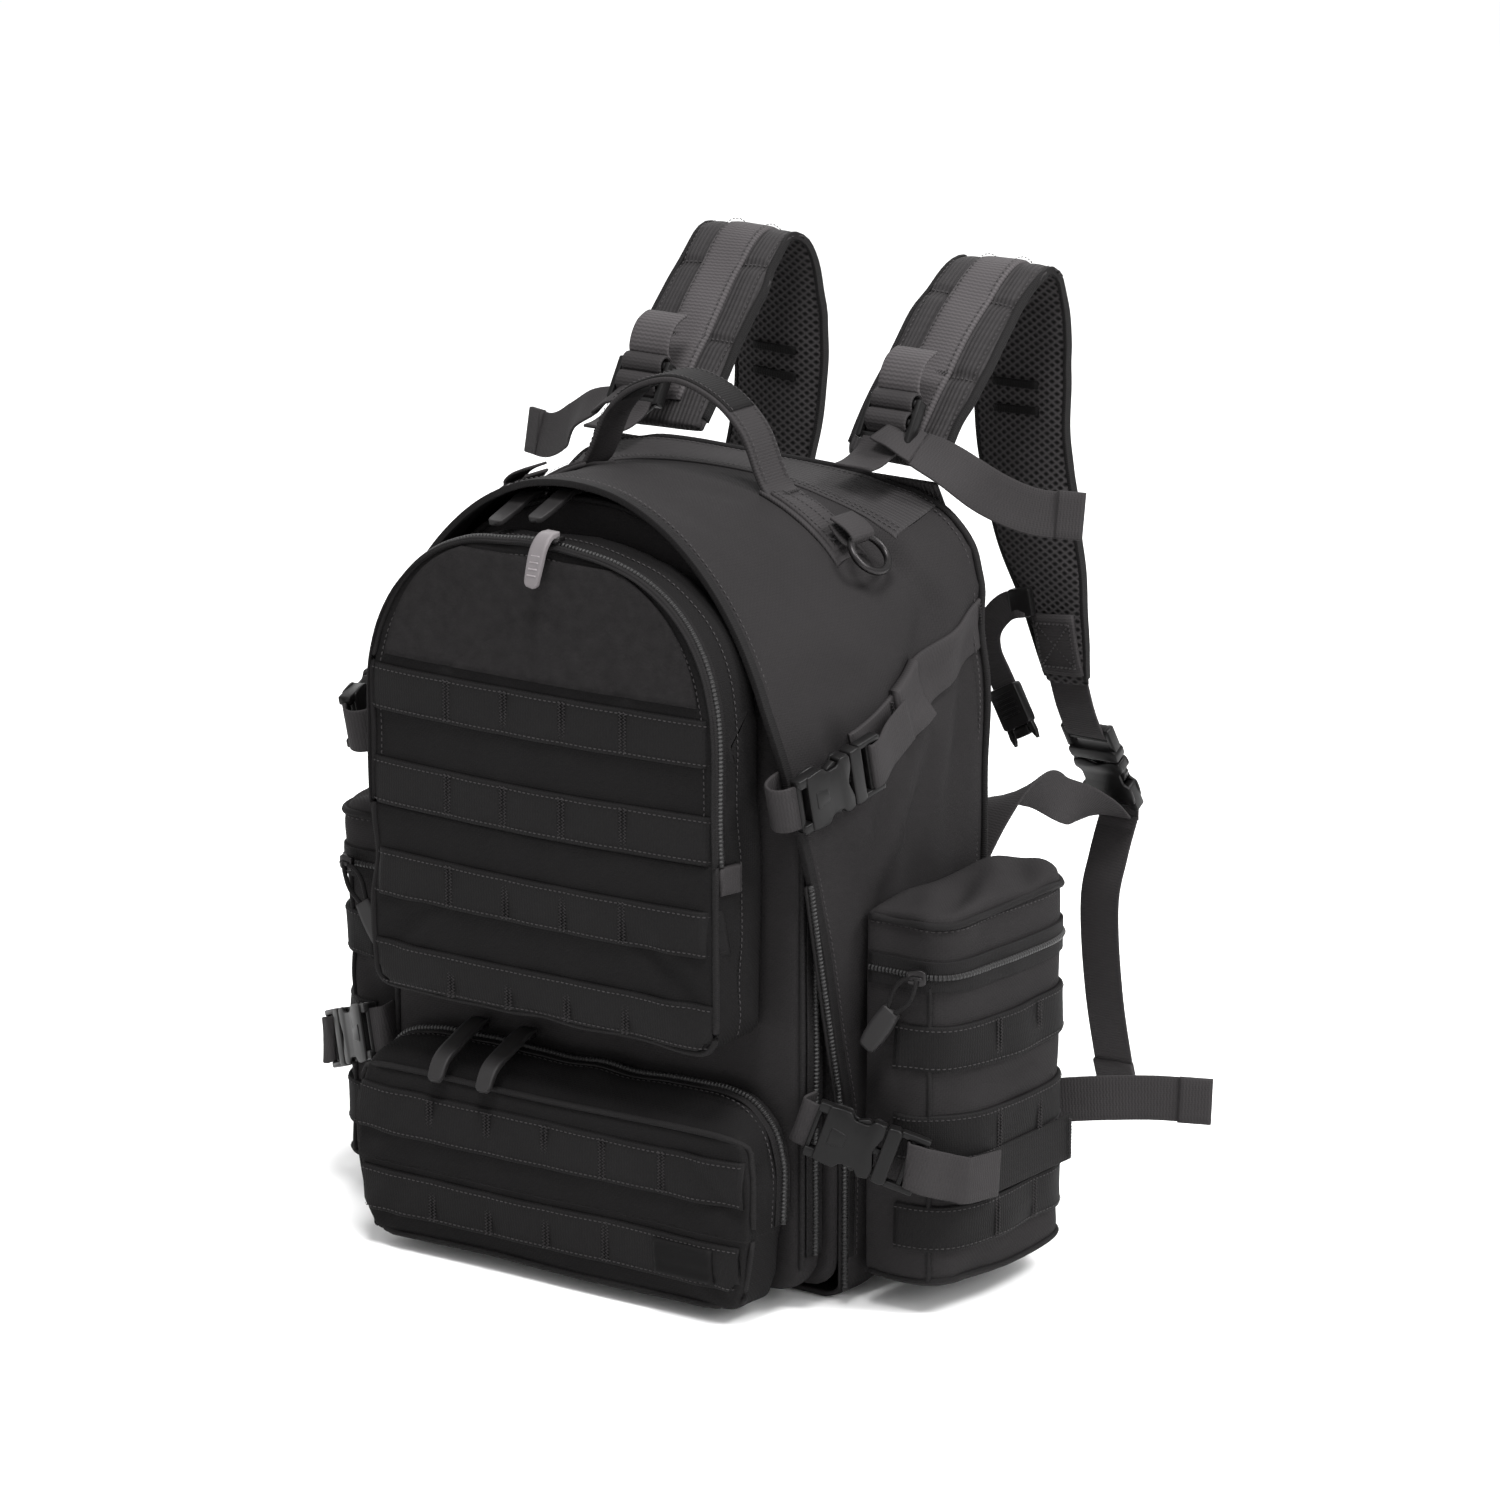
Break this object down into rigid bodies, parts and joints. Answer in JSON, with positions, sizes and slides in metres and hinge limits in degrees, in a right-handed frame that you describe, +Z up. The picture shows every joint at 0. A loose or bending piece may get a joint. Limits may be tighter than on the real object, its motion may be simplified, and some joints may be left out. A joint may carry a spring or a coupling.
{
  "type": "trauma backpack",
  "caption": "Padded webbing-strapped backpack with nested front compartments, front and side pouches, compression buckles, top handle and arched shoulder straps.",
  "frame": {"origin": "centre of the flat underside, on the surface the pack stands on, below the main compartment", "axes": "+Z up, the pouches on the front face -Y, the wearer's side and shoulder straps face +Y, +X is the wearer's right; the pack is mirror-symmetric about x = 0 apart from its zip pulls"},
  "size_m": [0.5034, 0.4103, 0.5167],
  "materials": {
    "pack_fabric": "charcoal-black 600D polyester, faint sheen",
    "panel_fabric": "black 600D polyester with webbing rows and loop field",
    "strap_fabric": "charcoal-black polyester over foam, spacer mesh on the wearer's side",
    "spacer_mesh": "black three-dimensional spacer mesh",
    "webbing": "25 mm charcoal polyester webbing",
    "moulded_plastic": "black acetal, satin",
    "grey_rubber": "light grey moulded pull",
    "dark_metal": "gunmetal steel ring",
    "polyethylene_sheet": "2 mm black polyethylene sheet",
    "bare_aluminium": "flat bar, bare"
  },
  "bodies": {
    "pack": {"main_shell": "pack_fabric", "storm_flap": "pack_fabric", "back_pad": "spacer_mesh", "frame_sheet": "polyethylene_sheet", "frame_stay": "bare_aluminium", "side_pouch_left": "pack_fabric", "side_pouch_right": "pack_fabric", "upper_compression_web_left": "webbing", "upper_compression_web_right": "webbing", "lower_compression_web_left": "webbing", "lower_compression_web_right": "webbing", "handle_anchor_web_left": "webbing", "handle_anchor_web_right": "webbing", "load_lifter_web_left": "webbing", "load_lifter_web_right": "webbing", "waist_strap_left": "webbing", "waist_strap_right": "webbing", "lower_anchor_web_left": "webbing", "lower_anchor_web_right": "webbing"},
    "door": {"main_door": "panel_fabric"},
    "front": {"mid_compartment": "pack_fabric", "upper_pouch": "pack_fabric", "lower_pouch": "pack_fabric", "buckle_female_upper_left": "moulded_plastic", "buckle_female_upper_right": "moulded_plastic", "buckle_female_lower_left": "moulded_plastic", "buckle_female_lower_right": "moulded_plastic"},
    "upper_flap": {"upper_pouch_flap": "panel_fabric"},
    "lower_flap": {"lower_pouch_flap": "panel_fabric"},
    "handle": {"carry_handle": "webbing"},
    "upper_pull": {"upper_pouch_pull": "grey_rubber"},
    "side_lid_left": {"side_pouch_lid_left": "pack_fabric"},
    "side_pull_left": {"side_pouch_pull_left": "moulded_plastic"},
    "ring_left": {"d_ring_left": "dark_metal"},
    "clip_upper_left": {"buckle_male_upper_left": "moulded_plastic"},
    "clip_lower_left": {"buckle_male_lower_left": "moulded_plastic"},
    "strap_left": {"shoulder_strap_left": "strap_fabric", "shoulder_buckle_male_left": "moulded_plastic"},
    "lifter_left": {"lifter_lock_left": "moulded_plastic", "lifter_tail_left": "webbing"},
    "clasp_left": {"shoulder_buckle_female_left": "moulded_plastic", "shoulder_tail_left": "webbing"},
    "sternum_left": {"sternum_strap_left": "moulded_plastic"},
    "mid_pull_left": {"mid_pull_left": "moulded_plastic"},
    "lower_pull_left": {"lower_pouch_pull_left": "moulded_plastic"},
    "side_lid_right": {"side_pouch_lid_right": "pack_fabric"},
    "side_pull_right": {"side_pouch_pull_right": "moulded_plastic"},
    "ring_right": {"d_ring_right": "dark_metal"},
    "clip_upper_right": {"buckle_male_upper_right": "moulded_plastic"},
    "clip_lower_right": {"buckle_male_lower_right": "moulded_plastic"},
    "strap_right": {"shoulder_strap_right": "strap_fabric", "shoulder_buckle_male_right": "moulded_plastic"},
    "lifter_right": {"lifter_lock_right": "moulded_plastic", "lifter_tail_right": "webbing"},
    "clasp_right": {"shoulder_buckle_female_right": "moulded_plastic", "shoulder_tail_right": "webbing"},
    "sternum_right": {"sternum_strap_right": "moulded_plastic"},
    "mid_pull_right": {"mid_pull_right": "moulded_plastic"},
    "lower_pull_right": {"lower_pouch_pull_right": "moulded_plastic"}
  },
  "joints": [
    {"name": "main_door_hinge", "type": "hinge", "parent": "pack", "child": "door", "pos_m": [0, -0.1078, 0.007], "axis": [1, 0, 0], "range_deg": [0, 80]},
    {"name": "front_compartment_hinge", "type": "hinge", "parent": "door", "child": "front", "pos_m": [0, -0.1101, 0.007], "axis": [1, 0, 0], "range_deg": [0, 40]},
    {"name": "upper_pouch_hinge", "type": "hinge", "parent": "front", "child": "upper_flap", "pos_m": [0, -0.184, 0.25025], "axis": [1, 0, 0], "range_deg": [0, 110]},
    {"name": "lower_pouch_hinge", "type": "hinge", "parent": "front", "child": "lower_flap", "pos_m": [0, -0.178, 0.05025], "axis": [1, 0, 0], "range_deg": [0, 95]},
    {"name": "carry_handle_swing", "type": "hinge", "parent": "pack", "child": "handle", "pos_m": [0, -0.05, 0.4245], "axis": [1, 0, 0], "range_deg": [-20, 20]},
    {"name": "upper_pull_swing", "type": "hinge", "parent": "upper_flap", "child": "upper_pull", "pos_m": [0.008, -0.1762, 0.4099], "axis": [1, 0, 0], "range_deg": [-110, 0]},
    {"name": "side_lid_hinge_left", "type": "hinge", "parent": "pack", "child": "side_lid_left", "pos_m": [-0.1525, -0.04, 0.224], "axis": [0, 1, 0], "range_deg": [0, 85]},
    {"name": "side_pull_swing_left", "type": "hinge", "parent": "side_lid_left", "child": "side_pull_left", "pos_m": [-0.186, -0.1087, 0.186], "axis": [0, -1, 0], "range_deg": [-45, 10]},
    {"name": "ring_swing_left", "type": "hinge", "parent": "pack", "child": "ring_left", "pos_m": [-0.109, -0.05, 0.402], "axis": [0, 1, 0], "range_deg": [0, 80]},
    {"name": "upper_clip_release_left", "type": "slide", "parent": "pack", "child": "clip_upper_left", "axis": [-0.158, 0.9391, 0.3051], "range_m": [0, 0.032]},
    {"name": "lower_clip_release_left", "type": "slide", "parent": "pack", "child": "clip_lower_left", "axis": [-0.8234, 0.4542, -0.3402], "range_m": [0, 0.032]},
    {"name": "shoulder_strap_flex_left", "type": "hinge", "parent": "pack", "child": "strap_left", "pos_m": [-0.078, 0.027, 0.423], "axis": [1, 0, 0], "range_deg": [-3, 8], "deforming": ["lower_anchor_web_left"]},
    {"name": "lifter_lock_tilt_left", "type": "hinge", "parent": "strap_left", "child": "lifter_left", "pos_m": [-0.082, 0.017, 0.436], "axis": [1, 0, 0], "range_deg": [0, 18]},
    {"name": "shoulder_clasp_release_left", "type": "slide", "parent": "strap_left", "child": "clasp_left", "axis": [-0.02, 0.529, -0.8484], "range_m": [0, 0.035]},
    {"name": "sternum_slide_left", "type": "slide", "parent": "strap_left", "child": "sternum_left", "axis": [0, 0, 1], "range_m": [-0.02, 0]},
    {"name": "mid_zip_left", "type": "hinge", "parent": "front", "child": "mid_pull_left", "pos_m": [0, -0.135, 0.245], "axis": [0, 1, 0], "range_deg": [-2, 2]},
    {"name": "lower_zip_left", "type": "slide", "parent": "lower_flap", "child": "lower_pull_left", "axis": [1, 0, 0], "range_m": [-0.024, 0]},
    {"name": "side_lid_hinge_right", "type": "hinge", "parent": "pack", "child": "side_lid_right", "pos_m": [0.1525, -0.04, 0.224], "axis": [0, -1, 0], "range_deg": [0, 85]},
    {"name": "side_pull_swing_right", "type": "hinge", "parent": "side_lid_right", "child": "side_pull_right", "pos_m": [0.186, -0.1087, 0.186], "axis": [0, 1, 0], "range_deg": [-45, 10]},
    {"name": "ring_swing_right", "type": "hinge", "parent": "pack", "child": "ring_right", "pos_m": [0.109, -0.05, 0.402], "axis": [0, -1, 0], "range_deg": [0, 80]},
    {"name": "upper_clip_release_right", "type": "slide", "parent": "pack", "child": "clip_upper_right", "axis": [0.158, 0.9391, 0.3051], "range_m": [0, 0.032]},
    {"name": "lower_clip_release_right", "type": "slide", "parent": "pack", "child": "clip_lower_right", "axis": [0.8234, 0.4542, -0.3402], "range_m": [0, 0.032]},
    {"name": "shoulder_strap_flex_right", "type": "hinge", "parent": "pack", "child": "strap_right", "pos_m": [0.078, 0.027, 0.423], "axis": [1, 0, 0], "range_deg": [-3, 8], "deforming": ["lower_anchor_web_right"]},
    {"name": "lifter_lock_tilt_right", "type": "hinge", "parent": "strap_right", "child": "lifter_right", "pos_m": [0.082, 0.017, 0.436], "axis": [1, 0, 0], "range_deg": [0, 18]},
    {"name": "shoulder_clasp_release_right", "type": "slide", "parent": "strap_right", "child": "clasp_right", "axis": [0.02, 0.529, -0.8484], "range_m": [0, 0.035]},
    {"name": "sternum_slide_right", "type": "slide", "parent": "strap_right", "child": "sternum_right", "axis": [0, 0, 1], "range_m": [-0.02, 0]},
    {"name": "mid_zip_right", "type": "hinge", "parent": "front", "child": "mid_pull_right", "pos_m": [0, -0.135, 0.245], "axis": [0, 1, 0], "range_deg": [0, 12]},
    {"name": "lower_zip_right", "type": "slide", "parent": "lower_flap", "child": "lower_pull_right", "axis": [1, 0, 0], "range_m": [0, 0.12]}
  ]
}
